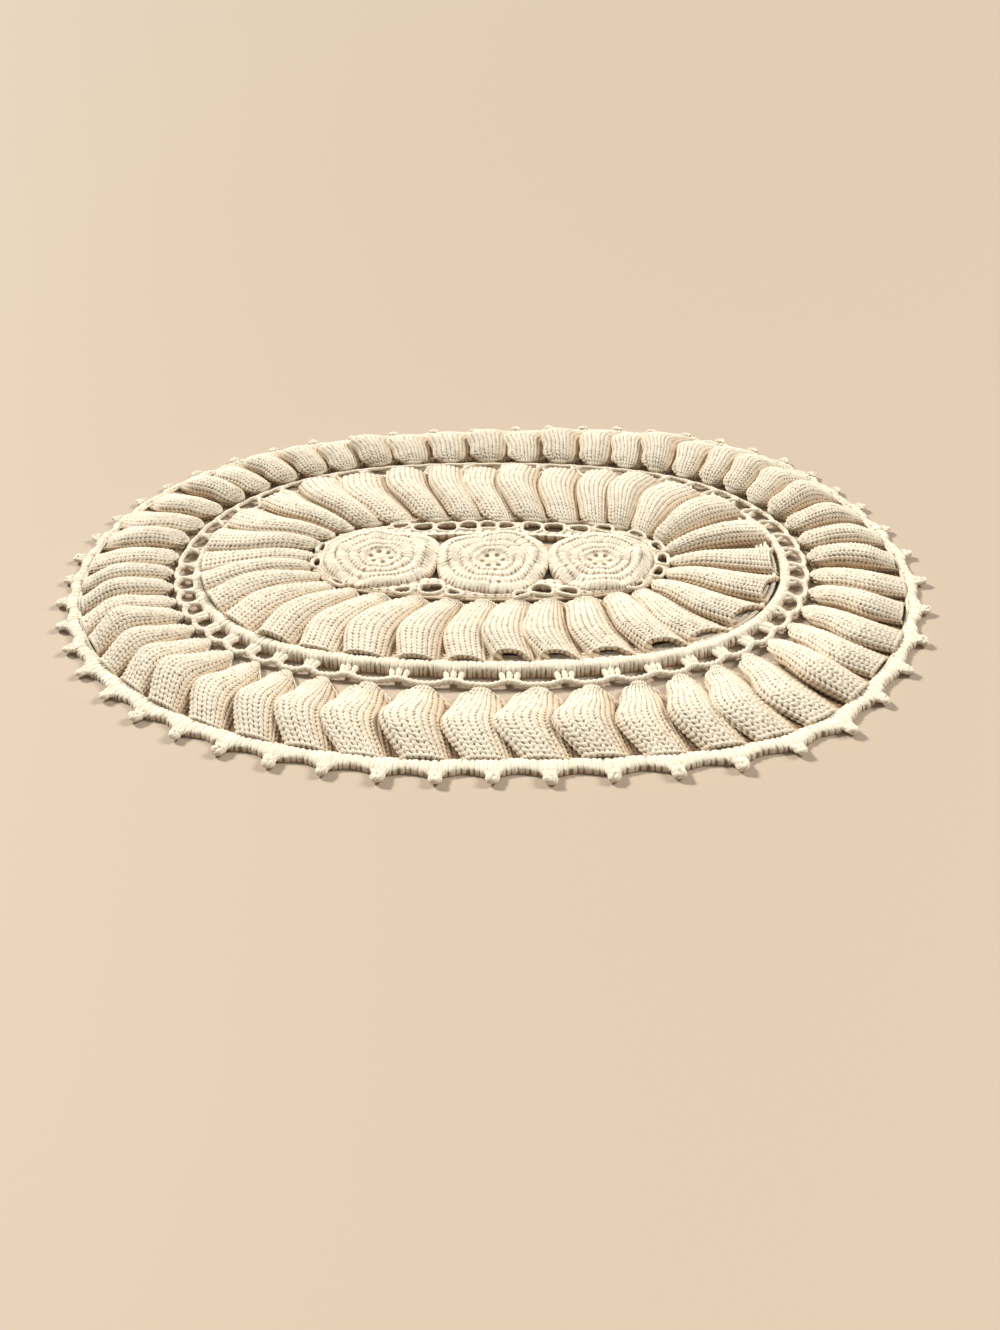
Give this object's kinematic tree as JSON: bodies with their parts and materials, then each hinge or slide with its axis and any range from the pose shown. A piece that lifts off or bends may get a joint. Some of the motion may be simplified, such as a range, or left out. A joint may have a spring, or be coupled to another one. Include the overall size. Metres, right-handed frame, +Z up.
{
  "type": "lace doily",
  "caption": "Oval crochet doily with roses and an open net in the middle, two rings of soft pleats, a corded band and a scalloped picot edge.",
  "frame": {"origin": "middle of the doily's bounding box, on the underside, at the level of the table", "axes": "+X along the length of the oval, +Y across it, +Z up from the table"},
  "size_m": [0.3538, 0.2678, 0.0083],
  "materials": {
    "cotton": "matt mercerised cotton thread, ecru"
  },
  "bodies": {
    "root": {"rose_left": "cotton", "rose_middle": "cotton", "rose_right": "cotton", "centre_net": "cotton", "inner_pleats": "cotton", "cord_band": "cotton", "mesh_round": "cotton", "outer_pleats": "cotton", "edging": "cotton"}
  },
  "joints": []
}
